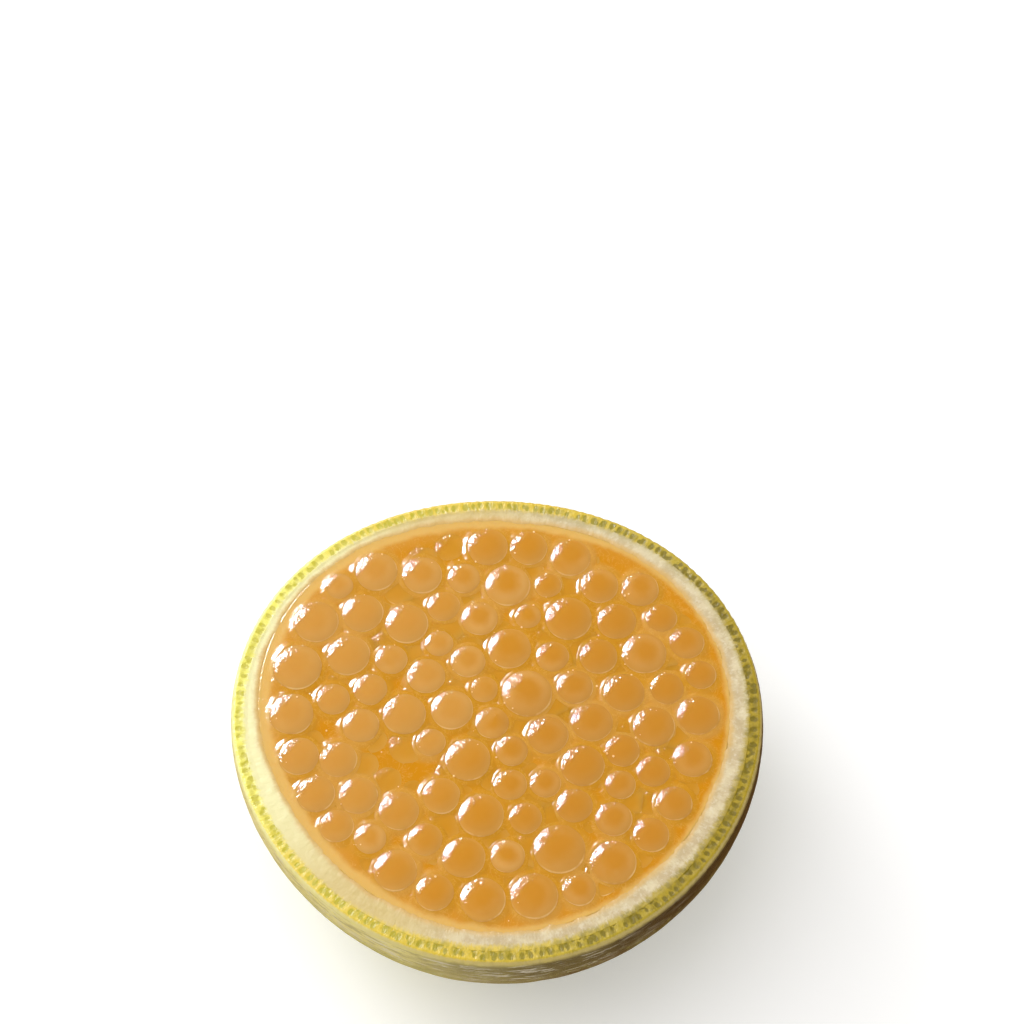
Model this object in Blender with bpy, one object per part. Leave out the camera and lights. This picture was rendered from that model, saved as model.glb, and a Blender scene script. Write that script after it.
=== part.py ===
"""Half of a round finger lime, cut across and standing on its stem end with the cut facing up.

Three layers show at the cut, and each is one solid: the green zest, the cream pith inside it, and
the orange pulp, whose juice pearls stand up out of the cut as low domes.
"""

import math
import random
from collections import namedtuple
from itertools import combinations

import bmesh
import bpy
from mathutils import Matrix

MM = 0.001

# The half fruit: its flat resting spot is at z = 0, and its cut face looks up
FACE_CENTRE = (-0.05 * MM, 0.3 * MM)
FACE_RADIUS = 20.0 * MM
FACE_SWELL = 0.56 * MM
FACE_SWELL_TURN = math.radians(-14)
FACE_LOBE = 0.3 * MM
FACE_LOBE_TURN = math.radians(27)
HALF_DEPTH = 16.0 * MM
WIDEST_DEPTH = 2.3 * MM
REST_RADIUS = 4.0 * MM
ROUNDNESS = 2.07
CUT_EDGE_ROUND = 0.25 * MM

# The layers, measured inwards from the skin
ZEST_THICKNESS = 1.0 * MM
PITH_UNDER_PULP = 2.2 * MM
LAYER_GAP = 0.32 * MM

# The pulp's outline on the cut, a little off centre, so the pith is thicker on the near side
PULP_CENTRE = (-0.17 * MM, 0.71 * MM)
PULP_RADIUS = 17.47 * MM
PULP_SWELL = 0.55 * MM
PULP_SWELL_TURN = math.radians(-21)
PULP_LOBE = 0.45 * MM
PULP_LOBE_TURN = math.radians(27)
PULP_WIDEST_DEPTH = 0.4 * MM

# The juice pearls: crowded, a little larger towards the rind, and clear of the open pools of gel
PEARL_SEED = 10
PEARL_COUNT = 82
PEARL_RADIUS = 1.58 * MM
PEARL_RIM_GAIN = 0.18 * MM
PEARL_SPREAD = 0.22 * MM
PEARL_SMALL = 1.2 * MM
PEARL_LARGE = 2.15 * MM
PEARL_HEIGHT = 0.5
PEARL_SUNK = 0.14
PEARL_SPACING = 1.02
PEARL_MARGIN = 0.2 * MM
SPIRAL_STEP = math.radians(137.508)
SPIRAL_JITTER = 0.7 * MM
PUSH_ROUNDS = 90
GEL_POOLS = (
    (-9.6 * MM, -2.8 * MM, 1.2 * MM),
    (-7.0 * MM, -3.6 * MM, 1.6 * MM),
    (-3.1 * MM, 15.6 * MM, 1.5 * MM),
)

# Mesh density
SIDES = 48
RINGS = 9
PEARL_FACETS = 2

Bowl = namedtuple("Bowl", "centre radius swell swell_turn lobe lobe_turn depth widest_depth floor_radius")

SKIN = Bowl(
    FACE_CENTRE,
    FACE_RADIUS,
    FACE_SWELL,
    FACE_SWELL_TURN,
    FACE_LOBE,
    FACE_LOBE_TURN,
    HALF_DEPTH,
    WIDEST_DEPTH,
    REST_RADIUS,
)
PULP_OUTLINE = Bowl(
    PULP_CENTRE,
    PULP_RADIUS,
    PULP_SWELL,
    PULP_SWELL_TURN,
    PULP_LOBE,
    PULP_LOBE_TURN,
    HALF_DEPTH - ZEST_THICKNESS - LAYER_GAP - PITH_UNDER_PULP,
    PULP_WIDEST_DEPTH,
    REST_RADIUS,
)


def shrunk(bowl, amount):
    """The bowl whose wall and floor lie this far inside another's."""
    return bowl._replace(radius=bowl.radius - amount, depth=bowl.depth - amount)


def edge_radius(bowl, angle):
    """Distance from a bowl's centre to its edge on the cut, in one direction: a slightly oval round
    with three faint lobes."""
    oval = bowl.swell * math.cos(2 * (angle - bowl.swell_turn))
    lobes = bowl.lobe * math.cos(3 * (angle - bowl.lobe_turn))
    return bowl.radius + oval + lobes


def bowl_profile(bowl):
    """Fractions of the edge radius and depths below the cut, from the cut, past the widest place,
    down to the flat floor."""
    floor = bowl.floor_radius / bowl.radius
    full_depth = (bowl.depth - bowl.widest_depth) / (1 - floor**ROUNDNESS) ** (1 / ROUNDNESS)
    first = -math.asin((bowl.widest_depth / full_depth) ** (ROUNDNESS / 2))
    last = math.acos(floor ** (ROUNDNESS / 2))
    on_cut = math.cos(first) ** (2 / ROUNDNESS)
    profile = []
    for i in range(RINGS + 1):
        turn = first + (last - first) * i / RINGS
        rise = math.copysign(abs(math.sin(turn)) ** (2 / ROUNDNESS), turn)
        profile.append((math.cos(turn) ** (2 / ROUNDNESS) / on_cut, bowl.widest_depth + full_depth * rise))
    return profile


def ring_of_vertices(mesh, bowl, fraction, depth, inset=0.0):
    """One level ring of a bowl's wall."""
    ring = []
    for i in range(SIDES):
        angle = math.tau * i / SIDES
        reach = edge_radius(bowl, angle) * fraction - inset
        x = bowl.centre[0] + reach * math.cos(angle)
        y = bowl.centre[1] + reach * math.sin(angle)
        ring.append(mesh.verts.new((x, y, HALF_DEPTH - depth)))
    return ring


def bowl_rings(mesh, bowl, edge_round=0.0):
    """All rings of a bowl's wall, from the cut downwards, with a small slope in place of a sharp edge."""
    rings = []
    for fraction, depth in bowl_profile(bowl):
        rings.append(ring_of_vertices(mesh, bowl, fraction, max(depth, edge_round)))
    if edge_round:
        rings.insert(0, ring_of_vertices(mesh, bowl, 1.0, 0.0, edge_round))
    return rings


def skin_rings(mesh, rings):
    """Faces between each ring and the next."""
    for upper, lower in zip(rings, rings[1:]):
        for i in range(SIDES):
            j = (i + 1) % SIDES
            mesh.faces.new((upper[i], upper[j], lower[j], lower[i]))


def finish_object(name, mesh, colour, roughness):
    """Turn the faces outwards and give the solid its name and material."""
    bmesh.ops.recalc_face_normals(mesh, faces=mesh.faces)
    data = bpy.data.meshes.new(name)
    mesh.to_mesh(data)
    mesh.free()
    material = bpy.data.materials.new(name)
    material.use_nodes = True
    shader = material.node_tree.nodes["Principled BSDF"]
    shader.inputs["Base Color"].default_value = (*colour, 1.0)
    shader.inputs["Roughness"].default_value = roughness
    shader.inputs["Metallic"].default_value = 0.0
    data.materials.append(material)
    data.shade_smooth()
    data.set_sharp_from_angle(angle=math.radians(35))
    solid = bpy.data.objects.new(name, data)
    bpy.context.scene.collection.objects.link(solid)
    return solid


def make_layer(name, outside, inside, colour, roughness, edge_round=0.0):
    """A filled wall between two bowls, with a flat ring of it showing at the cut."""
    mesh = bmesh.new()
    outer = bowl_rings(mesh, outside, edge_round)
    inner = bowl_rings(mesh, inside)
    skin_rings(mesh, outer[::-1] + inner)
    mesh.faces.new(outer[-1])
    mesh.faces.new(inner[-1])
    return finish_object(name, mesh, colour, roughness)


def hold_inside(pearl):
    """Move a pearl out of the gel pools and back within the pulp's edge."""
    for x, y, radius in GEL_POOLS:
        away = math.hypot(pearl[0] - x, pearl[1] - y)
        short = radius + pearl[2] - away
        if short > 0:
            pearl[0] += (pearl[0] - x) / away * short
            pearl[1] += (pearl[1] - y) / away * short
    x = pearl[0] - PULP_CENTRE[0]
    y = pearl[1] - PULP_CENTRE[1]
    reach = math.hypot(x, y)
    limit = edge_radius(PULP_OUTLINE, math.atan2(y, x)) - LAYER_GAP / 2 - PEARL_MARGIN - pearl[2]
    if reach > limit:
        pearl[0] = PULP_CENTRE[0] + x * limit / reach
        pearl[1] = PULP_CENTRE[1] + y * limit / reach


def lay_out_pearls():
    """Place and radius of each pearl: strewn along a spiral, then pushed apart until they fit."""
    draw = random.Random(PEARL_SEED)
    pearls = []
    for i in range(PEARL_COUNT):
        share = math.sqrt((i + 0.5) / PEARL_COUNT)
        x = PULP_CENTRE[0] + PULP_RADIUS * share * math.cos(i * SPIRAL_STEP) + draw.gauss(0, SPIRAL_JITTER)
        y = PULP_CENTRE[1] + PULP_RADIUS * share * math.sin(i * SPIRAL_STEP) + draw.gauss(0, SPIRAL_JITTER)
        radius = draw.gauss(PEARL_RADIUS + PEARL_RIM_GAIN * share, PEARL_SPREAD)
        pearls.append([x, y, min(max(radius, PEARL_SMALL), PEARL_LARGE)])
    for _ in range(PUSH_ROUNDS):
        for a, b in combinations(pearls, 2):
            apart = math.hypot(b[0] - a[0], b[1] - a[1])
            short = (a[2] + b[2]) * PEARL_SPACING - apart
            if short > 0:
                step_x = (b[0] - a[0]) / apart * short / 2
                step_y = (b[1] - a[1]) / apart * short / 2
                a[0] -= step_x
                a[1] -= step_y
                b[0] += step_x
                b[1] += step_y
        for pearl in pearls:
            hold_inside(pearl)
    return pearls


def make_pearl(group, place):
    """One pearl as a squashed ball, sunk into the pulp."""
    x, y, radius = place
    sunk = radius * PEARL_SUNK
    size = Matrix.Diagonal((radius, radius, radius * PEARL_HEIGHT + sunk, 1.0))
    turn = Matrix.Rotation(math.tau * (x + y) / MM, 4, "Z")
    mesh = bmesh.new()
    bmesh.ops.create_icosphere(
        mesh,
        subdivisions=PEARL_FACETS,
        radius=1.0,
        matrix=Matrix.Translation((x, y, HALF_DEPTH - sunk)) @ size @ turn,
    )
    data = bpy.data.meshes.new("pearl")
    mesh.to_mesh(data)
    mesh.free()
    group.objects.link(bpy.data.objects.new("pearl", data))


def fuse(solid, group):
    """Join everything in a collection to a solid, apply the union, and clear the collection away."""
    union = solid.modifiers.new("union", "BOOLEAN")
    union.operation = "UNION"
    union.operand_type = "COLLECTION"
    union.collection = group
    union.solver = "EXACT"
    joined = bpy.data.meshes.new_from_object(solid.evaluated_get(bpy.context.evaluated_depsgraph_get()))
    solid.modifiers.clear()
    solid.data = joined
    solid.data.name = solid.name
    for pearl in list(group.objects):
        bpy.data.objects.remove(pearl)
    bpy.data.collections.remove(group)


def make_pulp(outside, colour, roughness):
    """The pulp: a solid bowl of gel with the pearls fused to its top."""
    mesh = bmesh.new()
    rings = bowl_rings(mesh, outside)
    skin_rings(mesh, rings)
    mesh.faces.new(rings[0])
    mesh.faces.new(rings[-1])
    pulp = finish_object("pulp", mesh, colour, roughness)
    pearls = bpy.data.collections.new("pearls")
    bpy.context.scene.collection.children.link(pearls)
    for place in lay_out_pearls():
        make_pearl(pearls, place)
    fuse(pulp, pearls)
    return pulp


def build():
    """Clear the scene and build the three layers."""
    for leftover in list(bpy.data.objects):
        bpy.data.objects.remove(leftover)
    make_layer("zest", SKIN, shrunk(SKIN, ZEST_THICKNESS), (0.42, 0.42, 0.05), 0.4, CUT_EDGE_ROUND)
    pith_outside = shrunk(SKIN, ZEST_THICKNESS + LAYER_GAP)
    pith_inside = shrunk(PULP_OUTLINE, -LAYER_GAP / 2)
    make_layer("pith", pith_outside, pith_inside, (0.74, 0.66, 0.38), 0.7)
    make_pulp(shrunk(PULP_OUTLINE, LAYER_GAP / 2), (0.66, 0.28, 0.04), 0.15)


build()
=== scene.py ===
# %% [markdown]
# # Half a finger lime, cut face up
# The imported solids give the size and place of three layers: zest, pith and pulp. This lesson dresses
# each of them with a finer mesh and a finish of its own, then lights and frames the fruit.
# The solids stay where they are, and every new piece keeps to the room that they hold.

# %% Load the frame
import math
import random
from collections import namedtuple
from itertools import combinations

import bmesh
import bpy
import numpy as np
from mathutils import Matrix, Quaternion, Vector, noise


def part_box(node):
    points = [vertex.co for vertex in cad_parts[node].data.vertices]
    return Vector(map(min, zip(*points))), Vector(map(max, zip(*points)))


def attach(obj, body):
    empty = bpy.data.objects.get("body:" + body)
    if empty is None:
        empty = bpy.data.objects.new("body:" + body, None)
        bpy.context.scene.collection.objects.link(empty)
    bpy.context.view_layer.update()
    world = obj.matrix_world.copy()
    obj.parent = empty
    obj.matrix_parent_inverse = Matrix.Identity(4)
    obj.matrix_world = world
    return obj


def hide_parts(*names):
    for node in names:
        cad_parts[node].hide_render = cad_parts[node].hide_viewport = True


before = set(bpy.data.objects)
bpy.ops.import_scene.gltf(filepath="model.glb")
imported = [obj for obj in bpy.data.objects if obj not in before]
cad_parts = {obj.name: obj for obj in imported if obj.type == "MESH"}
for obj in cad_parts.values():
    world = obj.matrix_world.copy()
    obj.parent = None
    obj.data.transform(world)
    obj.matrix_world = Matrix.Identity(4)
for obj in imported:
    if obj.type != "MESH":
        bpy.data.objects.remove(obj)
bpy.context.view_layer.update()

# %% [markdown]
# The fruit's sizes are the same driving dimensions that its solids were built from. The height of the
# cut is read from the frame, so that the fine surfaces always meet the solids.

# %% Sizes of the fruit
MM = 0.001
CUT_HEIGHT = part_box("zest")[1].z
FACE_CENTRE = (-0.05 * MM, 0.3 * MM)
FACE_RADIUS = 20.0 * MM
FACE_SWELL = 0.56 * MM
FACE_SWELL_TURN = math.radians(-14)
FACE_LOBE = 0.3 * MM
FACE_LOBE_TURN = math.radians(27)
WIDEST_DEPTH = 2.3 * MM
REST_RADIUS = 4.0 * MM
ROUNDNESS = 2.07
CUT_EDGE_ROUND = 0.25 * MM
ZEST_THICKNESS = 1.0 * MM
PITH_UNDER_PULP = 2.2 * MM
LAYER_GAP = 0.32 * MM
PULP_CENTRE = (-0.17 * MM, 0.71 * MM)
PULP_RADIUS = 17.47 * MM
PULP_SWELL = 0.55 * MM
PULP_SWELL_TURN = math.radians(-21)
PULP_LOBE = 0.45 * MM
PULP_LOBE_TURN = math.radians(27)
PULP_WIDEST_DEPTH = 0.4 * MM
PULP_DEPTH = CUT_HEIGHT - ZEST_THICKNESS - LAYER_GAP - PITH_UNDER_PULP
KEEP_IN = 0.03 * MM

BOWL_FIELDS = "centre radius swell swell_turn lobe lobe_turn depth widest_depth floor_radius"
Bowl = namedtuple("Bowl", BOWL_FIELDS)
SKIN = Bowl(
    FACE_CENTRE, FACE_RADIUS - KEEP_IN, FACE_SWELL, FACE_SWELL_TURN, FACE_LOBE, FACE_LOBE_TURN,
    CUT_HEIGHT, WIDEST_DEPTH, REST_RADIUS,
)
PULP_OUTLINE = Bowl(
    PULP_CENTRE, PULP_RADIUS, PULP_SWELL, PULP_SWELL_TURN, PULP_LOBE, PULP_LOBE_TURN,
    PULP_DEPTH, PULP_WIDEST_DEPTH, REST_RADIUS,
)


def shrunk(bowl, amount):
    """The bowl whose wall and floor lie this far inside another's."""
    return bowl._replace(radius=bowl.radius - amount, depth=bowl.depth - amount)


def edge_radius(bowl, angle):
    """Distance from a bowl's centre to its edge on the cut: slightly oval, with three faint lobes."""
    oval = bowl.swell * np.cos(2 * (angle - bowl.swell_turn))
    lobes = bowl.lobe * np.cos(3 * (angle - bowl.lobe_turn))
    return bowl.radius + oval + lobes


def polar(bowl, points):
    """Distance and direction of each point from a bowl's centre."""
    x = points[:, 0] - bowl.centre[0]
    y = points[:, 1] - bowl.centre[1]
    return np.hypot(x, y), np.arctan2(y, x)


def inset_of(bowl, points):
    """How far each point lies inside a bowl's edge, as seen from above."""
    reach, angles = polar(bowl, points)
    return edge_radius(bowl, angles) - reach


print("cut height in mm:", round(CUT_HEIGHT / MM, 2))

# %% [markdown]
# Citrus layers are nested bowls, so each fine mesh is a stack of level rings. A ring is an array of
# points, and a mesh is closed with a fan at either end. Building the rings with numpy keeps full
# control over where the detail goes: many rings on the skin and the cut, few on hidden walls.


# %% Rings and closed meshes
def directions(sides):
    """Evenly spread angles round the fruit."""
    return np.arange(sides) * math.tau / sides


def level_ring(centre, angles, reach, height):
    """Points of one ring. The reach and the height may be one number or one for each angle."""
    x = centre[0] + reach * np.cos(angles)
    y = centre[1] + reach * np.sin(angles)
    return np.stack([x, y, np.broadcast_to(height, x.shape)], axis=1)


def bowl_wall(bowl, sides, shares):
    """Rings of a bowl's wall, at shares of the way from the cut, 0, down to the flat floor, 1."""
    floor = bowl.floor_radius / bowl.radius
    full_depth = (bowl.depth - bowl.widest_depth) / (1 - floor**ROUNDNESS) ** (1 / ROUNDNESS)
    first = -math.asin((bowl.widest_depth / full_depth) ** (ROUNDNESS / 2))
    last = math.acos(floor ** (ROUNDNESS / 2))
    on_cut = math.cos(first) ** (2 / ROUNDNESS)
    angles = directions(sides)
    rings = []
    for share in shares:
        turn = first + (last - first) * share
        reach = edge_radius(bowl, angles) * math.cos(turn) ** (2 / ROUNDNESS) / on_cut
        rise = math.copysign(abs(math.sin(turn)) ** (2 / ROUNDNESS), turn)
        sink = bowl.widest_depth + full_depth * rise
        rings.append(level_ring(bowl.centre, angles, reach, CUT_HEIGHT - sink))
    return rings


def closed_mesh(name, rings):
    """A closed mesh through rings of equally many points, with a point in the middle of each end."""
    sides = len(rings[0])
    points = np.concatenate([rings[0].mean(axis=0)[None], *rings, rings[-1].mean(axis=0)[None]])
    here = np.arange(sides)
    after = (here + 1) % sides
    faces = [(0, 1 + j, 1 + i) for i, j in zip(here, after)]
    for row in range(len(rings) - 1):
        upper = 1 + row * sides
        lower = upper + sides
        faces += zip(upper + here, upper + after, lower + after, lower + here)
    bottom = 1 + (len(rings) - 1) * sides
    faces += [(bottom + i, bottom + j, len(points) - 1) for i, j in zip(here, after)]
    mesh = bpy.data.meshes.new(name)
    mesh.from_pydata(points.tolist(), [], [tuple(int(corner) for corner in face) for face in faces])
    turned = bmesh.new()
    turned.from_mesh(mesh)
    bmesh.ops.recalc_face_normals(turned, faces=turned.faces)
    turned.to_mesh(mesh)
    turned.free()
    mesh.shade_smooth()
    return mesh


def points_of(mesh):
    """All points of a mesh as an array."""
    flat = np.empty(len(mesh.vertices) * 3, dtype=np.float32)
    mesh.vertices.foreach_get("co", flat)
    return flat.reshape(-1, 3).astype(float)


def keep_values(mesh, name, values):
    """Store one number for each point of a mesh, for the finishes to read."""
    layer = mesh.attributes.new(name, "FLOAT", "POINT")
    layer.data.foreach_set("value", np.ascontiguousarray(values, dtype=np.float32))


def place_piece(mesh, node):
    """Show a mesh in place of a node, riding on the fruit's one body."""
    piece = bpy.data.objects.new(mesh.name, mesh)
    bpy.context.scene.collection.objects.link(piece)
    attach(piece, "root")
    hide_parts(node)
    print(piece.name, "has", sum(len(face.vertices) - 2 for face in mesh.polygons), "triangles")
    return piece


def ripple(points, size, seed=0):
    """Smooth noise from -1 to 1 at an array of points, with humps of about the given size."""
    shift = Vector((seed * 7.31, seed * 3.17, seed * 5.53))
    return np.array([noise.noise(Vector(point) / size + shift) for point in points])


# %% [markdown]
# A finish and a layout are both trees of nodes. Written as sums and products of Python values, the
# maths in them stays readable. One small class adds nodes, and another wraps an output socket so
# that the usual operators work on it, also with a plain number on the left as in 1 - mask.


# %% A bench for nodes
class Bench:
    """Adds nodes to one tree and wires them together."""

    def __init__(self, tree):
        self.tree = tree

    def node(self, kind, settings=None, inputs=None, output=0):
        """One node: its settings first, then the value or wire of each socket, named or numbered."""
        made = self.tree.nodes.new(kind)
        for name, value in (settings or {}).items():
            setattr(made, name, value)
        for key, value in (inputs or {}).items():
            self.feed(made.inputs[key], value)
        return Wire(self, made.outputs[output])

    def feed(self, socket, value):
        """Connect a wire to a socket, or set its value."""
        if isinstance(value, Wire):
            self.tree.links.new(value.socket, socket)
        else:
            socket.default_value = value

    def noise(self, where, size, detail=2.0, rough=0.5, warp=0.0):
        """Cloudy noise of about 0 to 1, with clouds of the given size in metres."""
        settings = {"noise_dimensions": "3D"}
        inputs = {"Vector": where, "Scale": 1 / size, "Detail": detail, "Roughness": rough}
        inputs["Distortion"] = warp
        return self.node("ShaderNodeTexNoise", settings, inputs)

    def ramp(self, value, low, high):
        """A soft step from 0 at low to 1 at high. High may be the smaller of the two."""
        inputs = {"Value": value, "From Min": low, "From Max": high}
        return self.node("ShaderNodeMapRange", {"interpolation_type": "SMOOTHSTEP"}, inputs)

    def tint(self, first, second, share):
        """A colour between two colours."""
        return self.node("ShaderNodeMix", {"data_type": "RGBA"}, {0: share, 6: first, 7: second}, 2)

    def reading(self, name):
        """A number stored on the mesh."""
        return self.node("ShaderNodeAttribute", {"attribute_name": name}, output="Fac")

    def place(self):
        """The point being shaded, in the piece's own coordinates."""
        return self.node("ShaderNodeTexCoord", output="Object")

    def vector(self, operation, first, second=(0.0, 0.0, 0.0), output=0):
        """A sum, product or length of coordinates."""
        return self.node("ShaderNodeVectorMath", {"operation": operation}, {0: first, 1: second}, output)

    def scaled(self, first, factor):
        """Coordinates multiplied by one number."""
        return self.node("ShaderNodeVectorMath", {"operation": "SCALE"}, {0: first, "Scale": factor})

    def heading(self, where):
        """The level direction from the middle of the fruit, of length one."""
        from_middle = self.vector("SUBTRACT", where, (*SKIN.centre, 0.0))
        return self.vector("NORMALIZE", self.vector("MULTIPLY", from_middle, (1.0, 1.0, 0.0)))

    def around(self, where, inset, squeeze):
        """Coordinates along the rim and across it, for patterns that are drawn out along the radius."""
        along = self.vector("MULTIPLY", self.heading(where), (FACE_RADIUS, FACE_RADIUS, 0.0))
        across = self.node("ShaderNodeCombineXYZ", None, {"Z": inset * (squeeze * MM)})
        return self.vector("ADD", along, across)

    def bump(self, height, distance, under=None):
        """A normal bent by a height of 0 to 1 that stands for this distance in metres."""
        inputs = {"Height": height, "Distance": distance, "Strength": 1.0}
        if under is not None:
            inputs["Normal"] = under
        return self.node("ShaderNodeBump", None, inputs)

    def stored(self, name, kind="FLOAT"):
        """In a layout: what the mesh has stored for each point under this name."""
        settings = {"data_type": kind}
        return self.node("GeometryNodeInputNamedAttribute", settings, {"Name": name}, "Attribute")

    def store(self, geometry, name, value, kind="FLOAT", domain="POINT"):
        """In a layout: the geometry with a value stored for each point, or for each copy."""
        settings = {"data_type": kind, "domain": domain}
        inputs = {"Geometry": geometry, "Name": name, "Value": value}
        return self.node("GeometryNodeStoreNamedAttribute", settings, inputs)


class Wire:
    """An output socket that Python's operators can reckon with."""

    def __init__(self, bench, socket):
        self.bench = bench
        self.socket = socket

    def math(self, operation, first, second):
        return self.bench.node("ShaderNodeMath", {"operation": operation}, {0: first, 1: second})

    def __add__(self, other):
        return self.math("ADD", self, other)

    def __sub__(self, other):
        return self.math("SUBTRACT", self, other)

    def __rsub__(self, other):
        return self.math("SUBTRACT", other, self)

    def __mul__(self, other):
        return self.math("MULTIPLY", self, other)

    def __truediv__(self, other):
        return self.math("DIVIDE", self, other)

    def __rtruediv__(self, other):
        return self.math("DIVIDE", other, self)

    __radd__ = __add__
    __rmul__ = __mul__


def colour(code):
    """A colour for a socket from its six-figure code, as read off a picture."""
    parts = [int(code[i : i + 2], 16) / 255 for i in (0, 2, 4)]
    linear = [part / 12.92 if part <= 0.04045 else ((part + 0.055) / 1.055) ** 2.4 for part in parts]
    return (*linear, 1.0)


def new_finish(name, **constants):
    """A material's bench and shader. The constants are set on the shader's own sockets."""
    material = bpy.data.materials.new(name)
    material.use_nodes = True
    shader = material.node_tree.nodes["Principled BSDF"]
    for socket, value in constants.items():
        shader.inputs[socket.replace("_", " ")].default_value = value
    return material, Bench(material.node_tree), shader


print("bench ready")

# %% [markdown]
# Oil glands sit just under the skin of every citrus fruit. Where the knife went through them they show
# as a row of dark olive dots near the edge of the cut, with a few stray ones further in. Their places
# come from a rule with a fixed seed, and they are drawn out along the radius. The mesh takes four points
# for each gland, so that each one can be a small pit and the fruit's edge can swell between them.

# %% Glands along the cut
GLAND_COUNT = 168
GLAND_SEED = 5
GLAND_INSET = 0.56 * MM
GLAND_SIZE = 0.25 * MM
GLAND_STRETCH = 1.6
GLAND_SCATTER = 0.07 * MM
STRAY_COUNT = 190
STRAY_INSET = (0.7 * MM, 1.25 * MM)
STRAY_SIZE = 0.17 * MM


def lay_out_glands():
    """Angle, inset and radius of each gland, first the row at the edge and then the strays."""
    draw = random.Random(GLAND_SEED)
    step = math.tau / GLAND_COUNT
    glands = []
    for i in range(GLAND_COUNT):
        angle = (i + draw.uniform(-0.25, 0.25)) * step
        inset = GLAND_INSET + draw.gauss(0, GLAND_SCATTER)
        glands.append((angle, inset, GLAND_SIZE * draw.uniform(0.7, 1.15)))
    for _ in range(STRAY_COUNT):
        inset = STRAY_INSET[0] + (STRAY_INSET[1] - STRAY_INSET[0]) * draw.random() ** 1.6
        glands.append((draw.uniform(0, math.tau), inset, STRAY_SIZE * draw.uniform(0.6, 1.2)))
    return np.array(glands)


def gland_cover(points, glands):
    """How deep in a gland each point of the cut lies, from 0 outside to 1 in the middle of one."""
    angles = glands[:, 0]
    reach = edge_radius(SKIN, angles) - glands[:, 1]
    centres = np.stack([reach * np.cos(angles), reach * np.sin(angles)], axis=1) + SKIN.centre
    cover = np.zeros(len(points))
    for (angle, _, radius), centre in zip(glands, centres):
        x, y = (points[:, :2] - centre).T
        outwards = (x * math.cos(angle) + y * math.sin(angle)) / GLAND_STRETCH
        sideways = y * math.cos(angle) - x * math.sin(angle)
        away = np.hypot(outwards, sideways) / radius
        cover = np.maximum(cover, np.clip(1.25 - away, 0, 1))
    return cover


glands = lay_out_glands()
print("glands on the cut:", len(glands))

# %% [markdown]
# The zest is one thin bowl. From the hidden inner floor the rings climb the inner wall, cross the cut,
# turn over a rounded edge and run down the outside to the stem end. The stem end is a flat collar, on
# which the half stands, round a shallow scar where the stalk broke off.

# %% Zest mesh
ZEST_SIDES = 4 * GLAND_COUNT
SKIN_RINGS = 104
CUT_RINGS = 11
EDGE_STEPS = 4
HIDDEN_RINGS = 5
EDGE_SCALLOP = 0.07 * MM
GLAND_PIT = 0.05 * MM
SCAR_RADIUS = 1.9 * MM
SCAR_DEPTH = 0.28 * MM
COLLAR_RADII = (2.45 * MM, 2.15 * MM)


def edge_ring(turn):
    """One ring of the rounded edge between the skin, at turn 0, and the cut, at a quarter turn."""
    angles = directions(ZEST_SIDES)
    scallop = EDGE_SCALLOP * (0.5 - 0.5 * np.cos(angles * GLAND_COUNT + math.pi))
    scallop = scallop * (0.35 + 0.65 * np.abs(np.sin(angles * 13.0) * np.cos(angles * 29.0 + 1.0)))
    inset = CUT_EDGE_ROUND * (1 - math.cos(turn)) + scallop
    height = CUT_HEIGHT - CUT_EDGE_ROUND * (1 - math.sin(turn))
    return level_ring(SKIN.centre, angles, edge_radius(SKIN, angles) - inset, height)


def cut_ring(inset):
    """One ring across the cut face of the zest."""
    angles = directions(ZEST_SIDES)
    return level_ring(SKIN.centre, angles, edge_radius(SKIN, angles) - inset, CUT_HEIGHT)


def scar_rings():
    """The flat collar of the stem end and the shallow scar inside it."""
    angles = directions(ZEST_SIDES)
    rings = [level_ring(SKIN.centre, angles, radius, 0.0) for radius in COLLAR_RADII]
    for share in (1.0, 0.92, 0.7, 0.45, 0.2):
        crease = 0.04 * MM * np.cos(angles * 10) * share
        depth = SCAR_DEPTH * min(1.0, 1.6 * (1.05 - share) + 0.35)
        rings.append(level_ring(SKIN.centre, angles, SCAR_RADIUS * share, depth + crease))
    return rings


def make_zest_mesh():
    hidden = bowl_wall(shrunk(SKIN, ZEST_THICKNESS), ZEST_SIDES, np.linspace(1, 0.03, HIDDEN_RINGS))
    widths = np.linspace(ZEST_THICKNESS - 0.001 * MM, CUT_EDGE_ROUND + EDGE_SCALLOP, CUT_RINGS - 1)
    across = [cut_ring(width) for width in (ZEST_THICKNESS, *widths)]
    edge = [edge_ring(turn) for turn in np.linspace(math.pi / 2, 0, EDGE_STEPS)]
    down = bowl_wall(SKIN, ZEST_SIDES, np.linspace(0.035, 1, SKIN_RINGS))
    mesh = closed_mesh("zest_skin", hidden + across + edge + down + scar_rings())
    points = points_of(mesh)
    inset = inset_of(SKIN, points)
    on_cut = points[:, 2] > CUT_HEIGHT - 0.02 * MM
    cover = np.where(on_cut, gland_cover(points, glands), 0.0)
    points[:, 2] -= GLAND_PIT * cover
    mesh.vertices.foreach_set("co", points.astype(np.float32).ravel())
    first_outside = 1 + ZEST_SIDES * (HIDDEN_RINGS + CUT_RINGS + EDGE_STEPS)
    outside = np.zeros(len(points))
    outside[first_outside:] = 1.0
    depth = CUT_HEIGHT - points[:, 2]
    below_edge = np.clip((depth - CUT_EDGE_ROUND) / (0.8 * MM), 0, 1)
    above_collar = np.clip((points[:, 2] - 0.12 * MM) / (0.5 * MM), 0, 1)
    keep_values(mesh, "inset", inset / MM)
    keep_values(mesh, "gland", cover)
    keep_values(mesh, "depth", depth / MM)
    keep_values(mesh, "outside", outside)
    keep_values(mesh, "relief", outside * below_edge * above_collar)
    return mesh


zest_mesh = make_zest_mesh()
print("zest mesh points:", len(zest_mesh.vertices))

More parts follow.
